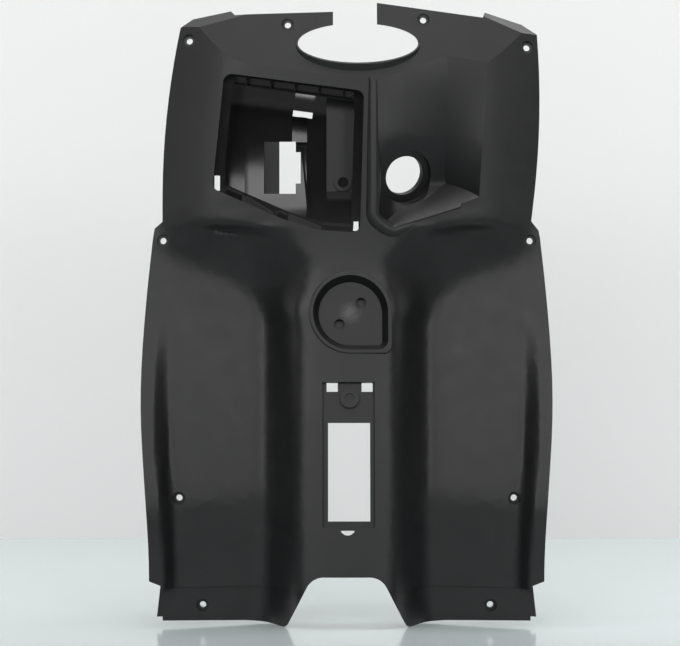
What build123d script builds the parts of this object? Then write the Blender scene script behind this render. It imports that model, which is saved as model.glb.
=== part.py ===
import math
import os

from build123d import *

# Frame: X to the right as seen by the rider, Y away from the rider, Z up, millimetres.
# The origin is midway between the seats of the two middle screws.

# Moulding
wall = 2.6
block_depth = 140.0

# Upper panel and tunnel, heights toward the rider measured from the middle screw seats
panel_height = 21.5
panel_lean = 0.035
panel_fall = 0.035
panel_twist = 0.010
ridge_half = 135.0
ridge_taper = 0.065
side_slope = 0.31
head_lean = 0.06
tunnel_rise = 0.175

# Leg panels
leg_height = 2.0
leg_inward_slope = 0.20
leg_tilt = 0.158
leg_tilt_end = -249.0
leg_turn = 0.175
recess_inner = 78.0
recess_outer = 185.0
recess_top = -10.0
recess_drop = 0.38
recess_corner = 32.0
recess_wall = 31.0
wall_round = 8.0
shoulder = 40.0
lip_height = 15.0
lip_wall = 13.0
lip_width = 12.0

# Lower edge and flange
body_bottom = -332.7
flange_set_back = 1.6
flange_half = 181.0
flange_bottom = -364.0
foot_bottom = -369.0
arch_top = -319.4
arch_top_half = 32.8
arch_foot_half = 57.6
arch_corner = 18.0

# Top slope round the steering head
slope_height = 26.3
slope_start = 157.0
slope_fall = 0.30
head_x = 11.0
head_z = 190.3
head_half_width = 58.0
head_half_height = 20.2
rim_width = 1.5
rim_fall = 0.54

# Screws
hole_r = 3.1
seat_r = 6.0
boss_r = 9.0
boss_depth = 6.0
seat_depth = 4.0
middle_screw_x = 178.3
lower_screw_x = 160.2
lower_screw_z = -247.2
bottom_screw_x = 138.0
bottom_screw_z = -350.3
top_left_screw = (-56.9, 209.0)
top_right_screw = (74.4, 214.0)
corner_left_screw = (-152.3, 193.7)
corner_right_screw = (174.6, 186.8)

# Glove box
ledge_y = -8.0
ledge_width = 9.0
box_back_y = 74.0
top_turn = 7.6
gutter_depth = 26.0
gutter_ribs = (-96.8, -73.5, -49.6, -26.8, -2.8)
housing_left = -19.5
housing_bottom = 49.0
housing_face_y = 16.0
step_right = -101.0
step_top = 97.0
step_face_y = 42.0
panel_left = -83.0
window_left = -67.6
window_right = -46.0
window_bottom = 50.5
window_top = 103.5
scoop_top = 108.0
scoop_r = 350.0

# Key pocket
key_left = 34.0
key_height = 27.5
key_slope_top = 0.12
key_slope_gain = 0.21
key_slope_loss = 0.13
key_drop = 15.0
key_fall_start = 105.0
key_bead_r = 7.0
key_r = 19.5
key_dish_r = 26.5
key_depth = 6.0
key_x = 56.0
key_y = -6.6
key_z = 63.2

# Round catch recess and number window on the tunnel
catch_x = 3.8
catch_z = -69.5
catch_r = 35.5
catch_floor_r = 30.6
catch_depth = 11.0
bead_width = 4.3
bead_height = 1.2
catch_hole_r = 5.3
catch_hole_depth = 6.0
catch_holes = ((10.2, 10.3), (-10.5, -10.5))
frame_x = 1.9
frame_z = -204.6
frame_width = 50.0
frame_height = 138.4
frame_depth = 5.0
number_width = 40.0
number_bottom = -267.6
number_top = -174.0
frame_boss = (1.0, 53.6)


def ease(start, end, value):
    part = min(max((value - start) / (end - start), 0.0), 1.0)
    return part * part * (3 - 2 * part)


def soft(value, radius):
    return 0.5 * (value + math.hypot(value, radius))


# Straight climb from 0 to 1 with rounded ends
def climb(start, end, value, radius):
    return (soft(value - start, radius) - soft(value - end, radius)) / (end - start)


def raised(x, z):
    across = abs(x - head_lean * soft(z - 10, 15))
    centre = panel_height + panel_lean * z + tunnel_rise * soft(-10 - z, 40)
    ridge = ridge_half - ridge_taper * z
    fall = panel_fall * math.hypot(across, 30) - panel_twist * x * ease(20, 150, z)
    side = side_slope * soft(across - ridge, 14) * ease(-120, -20, z)
    return centre - fall - side


def leg(x, z):
    inward = leg_inward_slope * (recess_outer - abs(x))
    lower = leg_turn * soft(leg_tilt_end + 0.12 * (120 - abs(x)) - z, 8)
    return leg_height - inward + leg_tilt * soft(-12 - z, 10) - lower


def past_recess(x, z):
    inner = recess_inner - abs(x) + recess_corner
    top = 0.935 * (z - recess_top + recess_drop * (recess_outer - abs(x))) + recess_corner
    corner = math.hypot(max(inner, 0), max(top, 0))
    return corner + min(max(inner, top), 0) - recess_corner


def edge_half(z):
    if z > -135:
        return 197 - 9 * ((z + 135) / 138) ** 2
    return 197 - 10.2 * ease(-135, -330, z)


# The wall of a leg recess is wider at the shoulder, between the recess and the upper panel
def wall_width(x, z):
    return recess_wall + shoulder * ease(-75, -20, z) * ease(26, 2, z) * ease(168, 120, abs(x))


def plain_front(x, z):
    low, high = leg(x, z), raised(x, z)
    return low + (high - low) * climb(0, wall_width(x, z), past_recess(x, z), wall_round)


def front(x, z):
    from_edge = abs(x) - edge_half(z) + lip_width
    lip = lip_height * ease(-45, -260, z) * ease(-lip_wall, 0, from_edge)
    return plain_front(x, z) + lip


def flange_front(x, z):
    return plain_front(x, z) - flange_set_back


# Key body: falls away to the right and, below key_fall_start, downward as well
def key_front(x, z):
    steep = key_slope_top + key_slope_gain * ease(170, 65, z) - key_slope_loss * ease(60, 40, z)
    down = key_drop * ease(key_fall_start, 45, z) * ease(20, 48, x)
    return key_height - steep * soft(x - key_left, 10) - down


# Right flank of the key pocket, rising from the valley to the ridge of the panel
def flank_front(x, z):
    steep = 0.06 + 0.77 * (min(max(170 - z, 0), 125) / 116) ** 2
    return 17 + 0.0305 * z - steep * (125.6 + 0.0575 * z - x)


def behind(height):
    def inner(x, z):
        slope_x = height(x + 0.5, z) - height(x - 0.5, z)
        slope_z = height(x, z + 0.5) - height(x, z - 0.5)
        return height(x, z) - wall * math.sqrt(1 + slope_x**2 + slope_z**2)

    return inner


def skin(height, columns, rows, tolerance):
    points = [[(x, -height(x, z), z) for z in rows] for x in columns]
    return Face.make_surface_from_array_of_points(points, tol=tolerance, min_deg=3, max_deg=3)


def tangent_plane(x, z):
    slope_x = (front(x + 4, z) - front(x - 4, z)) / 8
    slope_z = (front(x, z + 4) - front(x, z - 4)) / 8
    normal = (-slope_x, -1, -slope_z)
    return Plane(origin=(x, -front(x, z), z), x_dir=(1, -slope_x, 0), z_dir=normal)


# Cutting planes of the head: the top slope and the bevels over the two upper corners
slope_plane = Plane(
    origin=(0, -slope_height, slope_start), x_dir=(1, 0, 0), z_dir=(0, -1, slope_fall)
)
bevel_left = Plane(origin=(-135, -6.2, 212.2), x_dir=(51.5, 0, 11.7), z_dir=(-0.27, -1, 1.27))
bevel_right = Plane(origin=(159, -8.0, 208.3), x_dir=(50.6, 0, -17.5), z_dir=(0.43, -1, 1.23))
head_planes = (slope_plane, bevel_left, bevel_right)

edge_columns = [168 + 3 * i for i in range(17)]
columns = [-x for x in reversed(edge_columns)] + [-165 + 5 * i for i in range(67)] + edge_columns
rows = [-390 + 5 * i for i in range(127)]
flange_rows = [-400 + 5 * i for i in range(17)]
pocket_columns = [10 + 4 * i for i in range(39)]
pocket_rows = [-20 + 5 * i for i in range(45)]
front_face = skin(front, columns, rows, 0.5)
back_face = skin(behind(front), columns, rows, 0.5)
flange_face = skin(flange_front, columns, flange_rows, 0.5)
flange_back_face = skin(behind(flange_front), columns, flange_rows, 0.5)
key_face = skin(key_front, pocket_columns, pocket_rows, 0.15)
flank_face = skin(flank_front, pocket_columns, pocket_rows, 0.15)

with BuildSketch(Plane.XZ) as outline:
    with BuildLine():
        Polyline((-188, 3), (-186.5, 12), (-178.8, 18.5), (-178.8, 44))
        Spline((-178.8, 44), (-173, 137), (-161, 206.3))
        Polyline(
            (-161, 206.3), (-149.4, 216), (-112.4, 223.8), (-108.5, 219), (-13.1, 221.9),
            (-13.1, 200), (29.5, 200), (29.5, 231), (132, 216), (134.3, 221.9),
            (170, 210.2), (184.4, 199.5),
        )
        Spline((184.4, 199.5), (187.3, 137), (182.4, 44))
        Polyline((182.4, 44), (179.5, 19), (186.8, 10), (188, 3))
        Spline((188, 3), (195.2, -82), (196.7, -158.7), (190.3, -247.3), (186.8, -324))
        Polyline((186.8, -324), (175.8, -328.8), (175.8, body_bottom), (-175.8, body_bottom))
        Polyline((-175.8, body_bottom), (-175.8, -328.8), (-186.8, -324))
        Spline((-186.8, -324), (-190.3, -247.3), (-196.7, -158.7), (-195.2, -82), (-188, 3))
    make_face()

with BuildSketch(Plane.XZ) as steering_opening:
    with Locations((head_x, head_z)):
        Ellipse(head_half_width, head_half_height)

with BuildSketch(Plane.XZ) as arch:
    with BuildLine():
        Polyline(
            (-arch_foot_half, foot_bottom), (-arch_top_half, arch_top), (arch_top_half, arch_top),
            (arch_foot_half, foot_bottom), (-arch_foot_half, foot_bottom),
        )
    make_face()
    fillet(arch.vertices().sort_by(Axis.Y)[-2:], arch_corner)

arch_lean = (arch_foot_half - arch_top_half) / (arch_top - foot_bottom)
with BuildSketch(Plane.XZ) as flange_outline:
    with BuildLine():
        Polyline(
            (177, -325), (flange_half, -360), (flange_half - 5.3, -360),
            (flange_half - 5.3, flange_bottom), (97, flange_bottom - 2),
            (arch_foot_half, foot_bottom), (arch_top_half + 4 * arch_lean, arch_top - 4), (177, -325),
        )
    make_face()
    fillet(flange_outline.vertices().sort_by_distance((97, flange_bottom - 2))[0], 30)
    fillet(flange_outline.vertices().sort_by_distance((arch_foot_half, foot_bottom))[0], 7)
    mirror(about=Plane.YZ)

# Mouth of the glove box
with BuildSketch(Plane.XZ) as mouth:
    with BuildLine():
        Polyline(
            (-118, 161), (17, 143), (13, 7), (-26, 9.5), (-58, 19), (-129.4, 50), (-118, 161),
        )
    make_face()
    fillet(mouth.vertices().filter_by(lambda v: v.X < 0 and v.Y < 20), 30)
    fillet(mouth.vertices().filter_by(lambda v: v.Y > 140 or v.X > 12 or v.X < -129), 8)
with BuildSketch(Plane.XZ) as mouth_outer:
    add(mouth.sketch)
    offset(amount=wall)
with BuildSketch(Plane.XZ) as cavity_outline:
    add(mouth.sketch)
    offset(amount=-ledge_width)
with BuildSketch(Plane.XZ) as cavity_outer:
    add(mouth.sketch)
    offset(amount=wall - ledge_width)


def along_y(sketch, start, end):
    with BuildPart() as bar:
        extrude(sketch.sketch, amount=start - end)
    return bar.part.moved(Location((0, start, 0)))


def block(x_span, y_span, z_span, grow=0.0):
    (x0, x1), (y0, y1), (z0, z1) = x_span, y_span, z_span
    with BuildPart() as solid:
        with Locations(((x0 + x1) / 2, (y0 + y1) / 2, (z0 + z1) / 2)):
            Box(x1 - x0 + 2 * grow, y1 - y0 + 2 * grow, z1 - z0 + 2 * grow)
    return solid.part


def turned_block(centre, size, turn, grow=0.0):
    with BuildPart() as solid:
        Box(*(side + 2 * grow for side in size))
    return solid.part.moved(Location(centre, turn))


def y_cylinder(place, radius, start, end):
    x, y, z = place
    with BuildPart() as pin:
        with Locations((x, y + (start + end) / 2, z)):
            Cylinder(radius, end - start, rotation=(90, 0, 0))
    return pin.part


def cylinder_on(plane, place, radius, start, end):
    with BuildPart() as pin:
        with Locations((*place, (start + end) / 2)):
            Cylinder(radius, end - start)
    return pin.part.moved(plane.location)


def block_on(plane, place, width, height, start, end):
    with BuildPart() as solid:
        with Locations((*place, (start + end) / 2)):
            Box(width, height, end - start)
    return solid.part.moved(plane.location)


# Steps inside the glove box: the steering column housing and a step at the left
def box_steps(grow):
    with BuildPart() as steps:
        add(block((housing_left, 60), (housing_face_y, 130), (housing_bottom, 190), -grow))
        add(block((-150, step_right), (step_face_y, 130), (0, step_top), -grow))
    return steps.part


# Lower part of a rear wall, curving forward toward the sill
def scoop(x_span, z_span, wall_y):
    middle = (x_span[0] + x_span[1]) / 2
    with BuildPart() as curve:
        add(block(x_span, (wall_y - 20, wall_y + 1), z_span))
        with Locations((middle, wall_y - scoop_r, z_span[1])):
            Cylinder(scoop_r, 200, rotation=(0, 90, 0), mode=Mode.SUBTRACT)
    return curve.part


# Gutter over the mouth and the three hollows between the pads of the sill
def gutters(grow):
    with BuildPart() as hollows:
        add(turned_block((-51, 0, 148), (116, gutter_depth, 7.4), (0, top_turn, 0), grow))
        add(turned_block((-111, 0, 46.5), (20, gutter_depth, 7), (0, 23.5, 0), grow))
        add(turned_block((-63.5, 0, 25.3), (12, gutter_depth, 7), (0, 23.5, 0), grow))
        add(turned_block((-10, 0, 13.4), (28, gutter_depth, 7), (0, 3.7, 0), grow))
    return hollows.part.moved(Location((0, ledge_y + gutter_depth / 2 - 1, 0)))


with BuildPart() as cavity:
    add(along_y(cavity_outline, -60, box_back_y))
    add(box_steps(0), mode=Mode.SUBTRACT)

with BuildPart() as box_outer:
    add(along_y(mouth_outer, -60, ledge_y + wall))
    add(along_y(cavity_outer, -60, box_back_y + wall))
    add(box_steps(wall), mode=Mode.SUBTRACT)
    add(gutters(wall))

# Sloping pads on the sill, ribs in the gutter, rib and ramp on the rear wall of the box
with BuildPart() as box_fittings:
    add(turned_block((-87, ledge_y, 33), (33, 14, 6), (45, 23.5, 0)))
    add(turned_block((-41, ledge_y, 16), (34, 14, 6), (45, 16.5, 0)))
    add(along_y(mouth, -40, ledge_y + 1), mode=Mode.INTERSECT)
    for x in gutter_ribs:
        edge = 161 - (x + 118) * 18 / 135
        add(turned_block((x, -1, edge - 4.6), (1.4, 14, 8), (0, top_turn, 0)))
    add(turned_block((-41, box_back_y - 4, 60), (2, 10, 74), (0, -5.3, 0)))
    add(turned_block((-47, box_back_y, 114.5), (15, 10, 26), (-8, 0, 0)))
    add(y_cylinder((-3.4, housing_face_y, 58), 8.5, -3, 1))
    add(scoop((-117, -40), (20, scoop_top), box_back_y))
    add(scoop((-117, step_right), (30, step_top), step_face_y))

box_openings = [
    block((window_left, window_right - 5), (50, 100), (window_bottom, window_top)),
    block((window_right - 6, window_right), (50, 100), (window_bottom + 10.5, window_top - 10.5)),
    block((panel_left, window_left + 1), (box_back_y - 5, box_back_y + 1), (window_bottom, window_top)),
    turned_block((-44, box_back_y, 131), (20, 40, 6.2), (0, top_turn, 0)),
    y_cylinder((-3.4, housing_face_y, 58), 5.2, -20, 1.2),
    block((-128.0, -122.6), (-12, 8), (48.5, 63)),
    block((5.4, 11.6), (-12, 8), (9.5, 18.5)),
]


def pocket(grow):
    with BuildPart() as tool:
        extrude(key_face.moved(Location((0, 1.3 * grow, 0))), amount=300, dir=(0, -1, 0))
        with BuildPart(mode=Mode.INTERSECT):
            extrude(flank_face.moved(Location((0, 1.3 * grow, 0))), amount=300, dir=(0, -1, 0))
        shelf = Plane(origin=(57, -24.4, 14.6), x_dir=(72, 5.9, 27.2), z_dir=(-0.3, -1, 1.01))
        split(bisect_by=shelf.offset(-grow), keep=Keep.TOP)
        split(bisect_by=Plane.YZ.offset(key_left - 8 - grow), keep=Keep.TOP)
    return tool.part


# Key body standing proud of the panel, before the pocket shapes its face
with BuildSketch(Plane.XZ) as key_pad:
    with BuildLine():
        Polyline((26, 165), (26, 22), (40, 11), (58, 16), (110, 32), (110, 165), (26, 165))
    make_face()

# Rounded edge along the left of the key body, sinking into the panel under the shelf
with BuildPart() as key_bead:
    with BuildLine() as bead_path:
        Line((26, -21, 164), (26, -21, 42))
        Spline(
            (26, -21, 42), (28.8, -20.5, 19), (39, -18.8, 11), (76, -12, 19),
            tangents=((0, 0, -1), (1, 0.15, 0.25)),
        )
    with BuildSketch(bead_path.line ^ 0):
        Circle(key_bead_r)
    sweep()
    split(bisect_by=slope_plane, keep=Keep.BOTTOM)

key_plane = Plane(origin=(key_x, key_y, key_z), z_dir=(0.46, -1, -0.42))
catch_plane = tangent_plane(catch_x, catch_z)
frame_plane = tangent_plane(frame_x, frame_z)


def catch_shape(radius, corner):
    with BuildSketch() as shape:
        Circle(radius)
        with Locations((radius / 2, -radius / 2)):
            Rectangle(radius, radius)
        fillet(shape.vertices().sort_by_distance((radius, -radius))[0], corner)
    return shape.sketch


def catch(grow):
    draft = math.degrees(math.atan((catch_r - catch_floor_r) / catch_depth))
    with BuildPart() as tool:
        extrude(catch_shape(catch_floor_r + grow, 4 + grow), amount=catch_depth + grow + 3, taper=-draft)
    return tool.part.moved(catch_plane.location * Location((0, 0, -catch_depth - grow)))


with BuildPart() as bead:
    extrude(catch_shape(catch_r + bead_width, 8), amount=4 + bead_height)
    fillet(bead.faces().sort_by(Axis.Z)[-1].edges(), 1.0)
bead_part = bead.part.moved(catch_plane.location * Location((0, 0, -4)))


def frame(grow):
    width, height = frame_width + 2 * grow, frame_height + 2 * grow
    return block_on(frame_plane, (0, 0), width, height, -frame_depth - grow, 12)


# Raised collar round the lower half of the steering opening, fading out at its two ends
rim_plane = Plane(
    origin=(head_x, slope_fall * (head_z - slope_start) - slope_height, head_z),
    x_dir=(1, 0, 0), z_dir=(0, -1, rim_fall),
)
with BuildPart() as collar:
    with BuildSketch(Plane(rim_plane.origin, x_dir=(1, 0, 0), z_dir=slope_plane.z_dir).offset(-14)):
        Ellipse(head_half_width + 22, head_half_height + 23)
    with BuildSketch(rim_plane):
        Ellipse(head_half_width + rim_width, (head_half_height + rim_width) * math.hypot(1, rim_fall))
    loft(ruled=True)
    split(bisect_by=slope_plane.offset(-2), keep=Keep.TOP)
    split(bisect_by=Plane.XY.offset(head_z), keep=Keep.BOTTOM)

bottom_seat = seat_depth - flange_front(bottom_screw_x, bottom_screw_z)
lower_seat = seat_depth - front(lower_screw_x, lower_screw_z)


def head_seat(place):
    x, z = place
    height = front(x, z)
    for plane in head_planes:
        normal = plane.z_dir
        rest = normal.dot(plane.origin - Vector(x, 0, z))
        height = min(height, -rest / normal.Y)
    return (x, seat_depth - height, z)


screws = [
    (-middle_screw_x, 0.0, 0.0), (middle_screw_x, 0.0, 0.0),
    (-lower_screw_x, lower_seat, lower_screw_z), (lower_screw_x, lower_seat, lower_screw_z),
    head_seat(top_left_screw), head_seat(top_right_screw),
    head_seat(corner_left_screw), head_seat(corner_right_screw),
]
bottom_screws = [
    (-bottom_screw_x, bottom_seat, bottom_screw_z), (bottom_screw_x, bottom_seat, bottom_screw_z),
]

# Space behind the moulding, with the walls of every pocket and boss left standing
with BuildPart() as hollow:
    extrude(back_face, amount=260, dir=(0, 1, 0))
    for plane in head_planes:
        split(bisect_by=plane.offset(-wall), keep=Keep.BOTTOM)
    add(box_outer.part, mode=Mode.SUBTRACT)
    add(pocket(wall), mode=Mode.SUBTRACT)
    add(cylinder_on(key_plane, (0, 0), key_dish_r + wall, -key_depth, 8), mode=Mode.SUBTRACT)
    add(catch(wall), mode=Mode.SUBTRACT)
    for place in catch_holes:
        low = -catch_depth - catch_hole_depth - wall
        add(cylinder_on(catch_plane, place, catch_hole_r + wall, low, 0), mode=Mode.SUBTRACT)
    add(frame(wall), mode=Mode.SUBTRACT)
    for place in screws:
        add(y_cylinder(place, boss_r, -60, boss_depth), mode=Mode.SUBTRACT)

# Set-back flange along the lower edge
with BuildPart() as flange:
    add(along_y(flange_outline, -110, block_depth - 20))
    with BuildPart(mode=Mode.INTERSECT):
        extrude(flange_face, amount=240, dir=(0, 1, 0))
    with BuildPart(mode=Mode.SUBTRACT):
        extrude(flange_back_face, amount=240, dir=(0, 1, 0))
        for place in bottom_screws:
            add(y_cylinder(place, boss_r, -60, boss_depth), mode=Mode.SUBTRACT)

with BuildPart() as leg_shield:
    add(along_y(outline, -110, block_depth))
    with BuildPart(mode=Mode.INTERSECT):
        extrude(front_face, amount=240, dir=(0, 1, 0))
    add(along_y(key_pad, -32, -18))
    for plane in head_planes:
        split(bisect_by=plane, keep=Keep.BOTTOM)
    add(hollow.part, mode=Mode.SUBTRACT)
    add(flange.part)
    add(collar.part)
    add(along_y(steering_opening, -110, block_depth), mode=Mode.SUBTRACT)
    add(bead_part)
    add(along_y(arch, -110, block_depth), mode=Mode.SUBTRACT)

    # Glove box
    add(along_y(mouth, -60, ledge_y), mode=Mode.SUBTRACT)
    add(cavity.part, mode=Mode.SUBTRACT)
    add(gutters(0), mode=Mode.SUBTRACT)
    add(box_fittings.part)
    for opening in box_openings:
        add(opening, mode=Mode.SUBTRACT)

    # Key pocket
    add(pocket(0), mode=Mode.SUBTRACT)
    add(key_bead.part)
    add(cylinder_on(key_plane, (0, 0), key_dish_r, 0, 40), mode=Mode.SUBTRACT)
    add(cylinder_on(key_plane, (0, 0), key_r, -40, 40), mode=Mode.SUBTRACT)

    # Catch recess with its two blind holes
    add(catch(0), mode=Mode.SUBTRACT)
    for place in catch_holes:
        low = -catch_depth - catch_hole_depth
        add(cylinder_on(catch_plane, place, catch_hole_r, low, 0), mode=Mode.SUBTRACT)

    # Number window
    add(frame(0), mode=Mode.SUBTRACT)
    add(cylinder_on(frame_plane, frame_boss, 8.8, -frame_depth - 1, -0.8))
    add(cylinder_on(frame_plane, frame_boss, 4.8, -2.5, 5), mode=Mode.SUBTRACT)
    window_size = (number_width, number_top - number_bottom)
    window_place = (0.5, (number_top + number_bottom) / 2 - frame_z)
    add(block_on(frame_plane, window_place, *window_size, -30, 20), mode=Mode.SUBTRACT)
    for x in (-15.6, 17.8):
        add(block_on(frame_plane, (x, 64.6), 10.6, 8.6, -30, 20), mode=Mode.SUBTRACT)
    add(cylinder_on(frame_plane, (-0.9, -frame_height / 2), 7.2, -frame_depth, 12), mode=Mode.SUBTRACT)

    for place in screws + bottom_screws:
        add(y_cylinder(place, seat_r, -60, 0), mode=Mode.SUBTRACT)
        add(y_cylinder(place, hole_r, -60, 60), mode=Mode.SUBTRACT)

leg_shield.part.label = "leg_shield"
os.makedirs("parts", exist_ok=True)
export_step(leg_shield.part, "parts/leg_shield.step")
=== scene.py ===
import math

import bmesh
import bpy
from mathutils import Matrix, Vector


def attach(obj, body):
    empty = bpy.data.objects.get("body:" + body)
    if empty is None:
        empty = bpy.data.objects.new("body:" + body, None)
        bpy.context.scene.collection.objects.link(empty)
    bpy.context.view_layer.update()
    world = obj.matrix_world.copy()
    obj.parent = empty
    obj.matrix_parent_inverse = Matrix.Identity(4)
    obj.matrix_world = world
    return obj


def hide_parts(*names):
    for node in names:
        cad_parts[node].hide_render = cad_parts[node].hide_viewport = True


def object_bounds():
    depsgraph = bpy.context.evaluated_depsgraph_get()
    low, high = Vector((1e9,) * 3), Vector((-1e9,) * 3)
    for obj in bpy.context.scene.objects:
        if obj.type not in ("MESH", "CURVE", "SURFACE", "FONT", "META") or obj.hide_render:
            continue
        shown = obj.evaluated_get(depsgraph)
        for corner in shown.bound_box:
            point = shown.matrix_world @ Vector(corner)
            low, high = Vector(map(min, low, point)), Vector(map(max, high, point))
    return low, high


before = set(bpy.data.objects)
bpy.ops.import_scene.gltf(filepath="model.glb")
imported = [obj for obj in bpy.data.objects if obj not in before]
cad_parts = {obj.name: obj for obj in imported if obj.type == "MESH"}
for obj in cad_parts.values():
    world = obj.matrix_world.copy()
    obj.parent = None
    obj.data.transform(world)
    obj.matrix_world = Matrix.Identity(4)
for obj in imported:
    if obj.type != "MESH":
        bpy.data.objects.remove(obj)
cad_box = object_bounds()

# Leg shield: one injection moulding in black polypropylene, spark-textured on the side that the
# rider sees and smooth inside the glove box, where the tool was polished. Inside the box the base
# colour is also darker, which is painted shade in the box.


def node(tree, kind, place, **values):
    made = tree.nodes.new(kind)
    made.location = place
    for name, value in values.items():
        setattr(made, name, value)
    return made


def moulded_grain_group():
    group = bpy.data.node_groups.new("moulded_grain", "ShaderNodeTree")
    for name, start in (("Grain Scale", 1500.0), ("Roughness", 0.5), ("Spread", 0.1)):
        socket = group.interface.new_socket(name, in_out="INPUT", socket_type="NodeSocketFloat")
        socket.default_value = start
    for name in ("Height", "Tone", "Roughness"):
        group.interface.new_socket(name, in_out="OUTPUT", socket_type="NodeSocketFloat")
    inputs = node(group, "NodeGroupInput", (-900, 0))
    outputs = node(group, "NodeGroupOutput", (500, 0))
    place = node(group, "ShaderNodeTexCoord", (-900, -300))
    grain = node(group, "ShaderNodeTexNoise", (-600, 200))
    grain.inputs["Detail"].default_value = 3.0
    grain.inputs["Roughness"].default_value = 0.6
    flow = node(group, "ShaderNodeTexNoise", (-600, -200))
    flow.inputs["Scale"].default_value = 11.0
    flow.inputs["Detail"].default_value = 4.0
    patch = node(group, "ShaderNodeTexNoise", (-600, -500))
    patch.inputs["Scale"].default_value = 60.0
    patch.inputs["Detail"].default_value = 3.0
    for texture in (grain, flow, patch):
        group.links.new(place.outputs["Object"], texture.inputs["Vector"])
    group.links.new(inputs.outputs["Grain Scale"], grain.inputs["Scale"])
    both = node(group, "ShaderNodeMath", (-300, -300), operation="ADD")
    group.links.new(flow.outputs["Fac"], both.inputs[0])
    group.links.new(patch.outputs["Fac"], both.inputs[1])
    tone = node(group, "ShaderNodeMapRange", (-100, -300))
    tone.inputs["From Min"].default_value = 0.7
    tone.inputs["From Max"].default_value = 1.3
    group.links.new(both.outputs[0], tone.inputs["Value"])
    centred = node(group, "ShaderNodeMath", (-100, -50), operation="SUBTRACT")
    centred.inputs[1].default_value = 0.5
    group.links.new(patch.outputs["Fac"], centred.inputs[0])
    spread = node(group, "ShaderNodeMath", (100, -50), operation="MULTIPLY_ADD")
    group.links.new(centred.outputs[0], spread.inputs[0])
    group.links.new(inputs.outputs["Spread"], spread.inputs[1])
    group.links.new(inputs.outputs["Roughness"], spread.inputs[2])
    group.links.new(grain.outputs["Fac"], outputs.inputs["Height"])
    group.links.new(tone.outputs["Result"], outputs.inputs["Tone"])
    group.links.new(spread.outputs[0], outputs.inputs["Roughness"])
    return group


moulded_grain = moulded_grain_group()


def moulded_black(name, dark, light, grain_scale, roughness, spread, bump):
    material = bpy.data.materials.new(name)
    material.use_nodes = True
    tree = material.node_tree
    shader = tree.nodes["Principled BSDF"]
    shader.inputs["IOR"].default_value = 1.49
    grain = node(tree, "ShaderNodeGroup", (-700, 0), node_tree=moulded_grain)
    grain.inputs["Grain Scale"].default_value = grain_scale
    grain.inputs["Roughness"].default_value = roughness
    grain.inputs["Spread"].default_value = spread
    colour = node(tree, "ShaderNodeMix", (-400, 200), data_type="RGBA")
    colour.inputs[6].default_value = (*dark, 1.0)
    colour.inputs[7].default_value = (*light, 1.0)
    tree.links.new(grain.outputs["Tone"], colour.inputs[0])
    tree.links.new(colour.outputs[2], shader.inputs["Base Color"])
    tree.links.new(grain.outputs["Roughness"], shader.inputs["Roughness"])
    relief = node(tree, "ShaderNodeBump", (-400, -250))
    relief.inputs["Strength"].default_value = bump
    relief.inputs["Distance"].default_value = 0.0002
    tree.links.new(grain.outputs["Height"], relief.inputs["Height"])
    tree.links.new(relief.outputs["Normal"], shader.inputs["Normal"])
    return material


textured_black = moulded_black(
    "textured_black", (0.006, 0.006, 0.0065), (0.009, 0.009, 0.0095), 1500.0, 0.46, 0.12, 0.30
)
# Polished finish of the glove box; its darker base colour is painted shade inside the box.
smooth_black_painted_shade = moulded_black(
    "smooth_black_painted_shade", (0.004, 0.004, 0.0045), (0.006, 0.006, 0.0065), 400.0, 0.13, 0.05, 0.04
)

shield_mesh = bpy.data.meshes.new("leg_shield_moulding")
merged = bmesh.new()
merged.from_mesh(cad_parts["leg_shield"].data)
for edge in merged.edges:
    edge.smooth = not edge.is_boundary
bmesh.ops.remove_doubles(merged, verts=merged.verts, dist=1e-6)
for edge in merged.edges:
    if not edge.smooth and edge.is_manifold and edge.calc_face_angle() < math.radians(5):
        edge.smooth = True
for face in merged.faces:
    face.smooth = True
merged.to_mesh(shield_mesh)
merged.free()
shield_mesh.materials.clear()
shield_mesh.materials.append(textured_black)
shield_mesh.materials.append(smooth_black_painted_shade)
# Faces inside the glove box get the smooth black with painted shade; the housing face keeps the
# textured black.
box_low, box_high = (-0.128, -0.0085, 0.006), (0.014, 0.0745, 0.162)
housing_low, housing_high = (-0.0193, 0.012, 0.0492), (0.014, 0.0165, 0.162)


def lies_in(place, low, high):
    return all(a < value < b for value, a, b in zip(place, low, high))


for face in shield_mesh.polygons:
    in_box = lies_in(face.center, box_low, box_high)
    on_housing = lies_in(face.center, housing_low, housing_high)
    face.material_index = 1 if in_box and not on_housing else 0
leg_shield = bpy.data.objects.new("leg_shield_moulding", shield_mesh)
bpy.context.scene.collection.objects.link(leg_shield)
evened = leg_shield.modifiers.new("even_normals", "WEIGHTED_NORMAL")
evened.mode = "FACE_AREA"
evened.keep_sharp = True
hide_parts("leg_shield")
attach(leg_shield, "root")

# Gate mark: a pale smear in the middle of the round catch recess, where the melt came in. It is part
# of the textured finish of the shield.

gate_place = (0.0035, -0.0215, -0.0698)
gate_reach = 0.014
gate_tree = textured_black.node_tree
place = node(gate_tree, "ShaderNodeTexCoord", (-1500, 700))
away = node(gate_tree, "ShaderNodeVectorMath", (-1300, 700), operation="DISTANCE")
away.inputs[1].default_value = gate_place
gate_tree.links.new(place.outputs["Object"], away.inputs[0])
streak = node(gate_tree, "ShaderNodeTexNoise", (-1300, 450))
streak.inputs["Scale"].default_value = 260.0
streak.inputs["Detail"].default_value = 3.0
gate_tree.links.new(place.outputs["Object"], streak.inputs["Vector"])
near = node(gate_tree, "ShaderNodeMapRange", (-1100, 700), interpolation_type="SMOOTHSTEP")
near.inputs["From Min"].default_value = gate_reach
near.inputs["From Max"].default_value = 0.001
gate_tree.links.new(away.outputs["Value"], near.inputs["Value"])
smear = node(gate_tree, "ShaderNodeMath", (-900, 600), operation="MULTIPLY")
gate_tree.links.new(near.outputs["Result"], smear.inputs[0])
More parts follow.
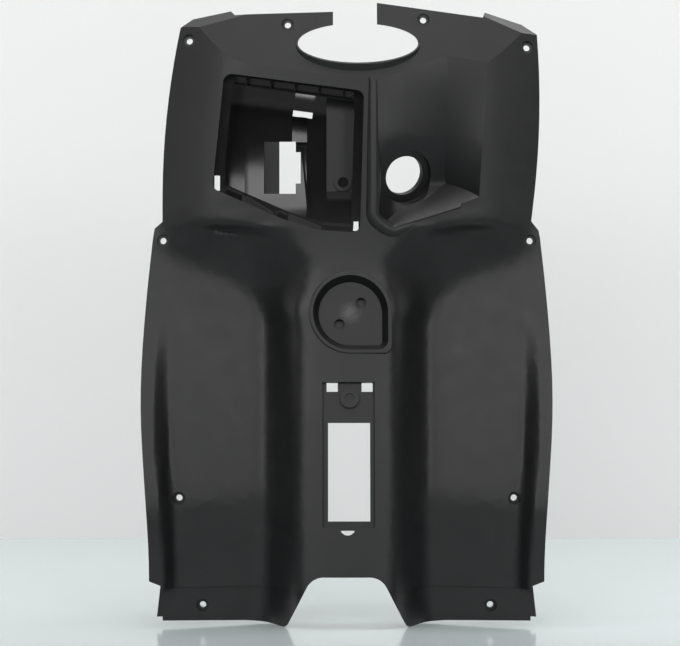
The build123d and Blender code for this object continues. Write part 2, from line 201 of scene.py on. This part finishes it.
gate_tree.links.new(streak.outputs["Fac"], smear.inputs[1])
paler = node(gate_tree, "ShaderNodeMix", (-150, 350), data_type="RGBA")
paler.inputs[7].default_value = (0.15, 0.15, 0.15, 1.0)
gate_tree.links.new(smear.outputs[0], paler.inputs[0])
shader = gate_tree.nodes["Principled BSDF"]
gate_tree.links.new(shader.inputs["Base Color"].links[0].from_socket, paler.inputs[6])
gate_tree.links.new(paler.outputs[2], shader.inputs["Base Color"])

# Stage: a pale wall and a pale sheet-glass table that the shield stands on. The table's colour
# darkens well in front of the shield as painted shade, and the wall is clear from behind, so that
# the back shows too.

pale_glass, painted_shade_glass = (0.50, 0.56, 0.56), (0.20, 0.22, 0.22)
shade_from_y, shade_to_y = -0.05, -0.45
floor_z = cad_box[0].z
wall_y = 0.72


def stage_plane(name, corners, colour, roughness):
    mesh = bpy.data.meshes.new(name)
    mesh.from_pydata(corners, [], [(0, 1, 2, 3)])
    material = bpy.data.materials.new(name)
    material.use_nodes = True
    shader = material.node_tree.nodes["Principled BSDF"]
    shader.inputs["Base Color"].default_value = (*colour, 1.0)
    shader.inputs["Roughness"].default_value = roughness
    mesh.materials.append(material)
    plane = bpy.data.objects.new(name, mesh)
    bpy.context.scene.collection.objects.link(plane)
    return material.node_tree


floor_tree = stage_plane(
    "floor",
    [(-6, -6, floor_z), (6, -6, floor_z), (6, 6, floor_z), (-6, 6, floor_z)],
    pale_glass, 0.14,
)
table_place = node(floor_tree, "ShaderNodeTexCoord", (-900, 200))
depth = node(floor_tree, "ShaderNodeSeparateXYZ", (-700, 200))
floor_tree.links.new(table_place.outputs["Object"], depth.inputs[0])
# Painted shade: the table colour goes from the pale glass to a darker grey towards the front.
forward = node(floor_tree, "ShaderNodeMapRange", (-500, 200), interpolation_type="SMOOTHSTEP")
forward.inputs["From Min"].default_value = shade_from_y
forward.inputs["From Max"].default_value = shade_to_y
floor_tree.links.new(depth.outputs["Y"], forward.inputs["Value"])
shade = node(floor_tree, "ShaderNodeMix", (-300, 200), data_type="RGBA")
shade.inputs[6].default_value = (*pale_glass, 1.0)
shade.inputs[7].default_value = (*painted_shade_glass, 1.0)
floor_tree.links.new(forward.outputs["Result"], shade.inputs[0])
floor_tree.links.new(shade.outputs[2], floor_tree.nodes["Principled BSDF"].inputs["Base Color"])
wall_tree = stage_plane(
    "wall",
    [(-6, wall_y, floor_z), (6, wall_y, floor_z), (6, wall_y, 5), (-6, wall_y, 5)],
    (0.76, 0.755, 0.75), 0.9,
)
facing = node(wall_tree, "ShaderNodeNewGeometry", (-200, 300))
clear = node(wall_tree, "ShaderNodeBsdfTransparent", (0, 300))
sides = node(wall_tree, "ShaderNodeMixShader", (300, 100))
wall_tree.links.new(facing.outputs["Backfacing"], sides.inputs[0])
wall_tree.links.new(wall_tree.nodes["Principled BSDF"].outputs["BSDF"], sides.inputs[1])
wall_tree.links.new(clear.outputs["BSDF"], sides.inputs[2])
wall_tree.links.new(sides.outputs["Shader"], wall_tree.nodes["Material Output"].inputs["Surface"])

# Light: two soft boxes in front, a weaker one higher up, one overhead, a small one beside the camera
# and three that wash the wall, with a weak sky so that steep faces stay dark.

world = bpy.data.worlds.new("studio")
world.use_nodes = True
world.node_tree.nodes["Background"].inputs["Color"].default_value = (0.95, 0.97, 1.0, 1.0)
world.node_tree.nodes["Background"].inputs["Strength"].default_value = 0.12
bpy.context.scene.world = world


def soft_box(name, place, target, size, power):
    lamp = bpy.data.lights.new(name, "AREA")
    lamp.shape = "RECTANGLE"
    lamp.size, lamp.size_y = size
    lamp.energy = power
    box = bpy.data.objects.new(name, lamp)
    box.location = place
    box.rotation_euler = (Vector(target) - Vector(place)).to_track_quat("-Z", "Y").to_euler()
    bpy.context.scene.collection.objects.link(box)


soft_box("front_light_left", (-0.82, -1.85, 0.60), (0, 0, -0.1), (0.6, 0.5), 10)
soft_box("front_light_right", (0.82, -1.85, 0.60), (0, 0, -0.1), (0.6, 0.5), 10)
soft_box("front_light_top", (-0.2, -1.9, 0.80), (0, 0, 0), (0.5, 0.45), 3.0)
soft_box("overhead_light", (0.4, -0.5, 2.1), (0, 0, 0), (2.4, 1.2), 30)
soft_box("camera_light", (-0.1, -2.1, -0.06), (0, 0, 0), (0.8, 0.3), 0.8)
soft_box("wall_light", (0.3, 0.1, 2.2), (0.1, wall_y, -0.1), (3.6, 0.3), 37)
soft_box("wall_light_left", (-1.7, 0.15, 0.1), (-0.3, wall_y, -0.2), (0.3, 1.2), 8.5)
soft_box("wall_light_right", (1.7, 0.15, 0.1), (0.3, wall_y, -0.2), (0.3, 1.2), 8)

# Camera: level and square to the panel, at the height of the lower glove box.

camera_distance = 1.9
view_width = 0.6616
camera = bpy.data.cameras.new("camera")
camera.sensor_width = 36.0
camera.lens = 36.0 * camera_distance / view_width
viewer = bpy.data.objects.new("camera", camera)
viewer.location = (-0.0063, -camera_distance, -0.0798)
viewer.rotation_euler = (math.radians(90), 0, 0)
bpy.context.scene.collection.objects.link(viewer)
bpy.context.scene.camera = viewer

bpy.context.scene.view_settings.view_transform = "Standard"
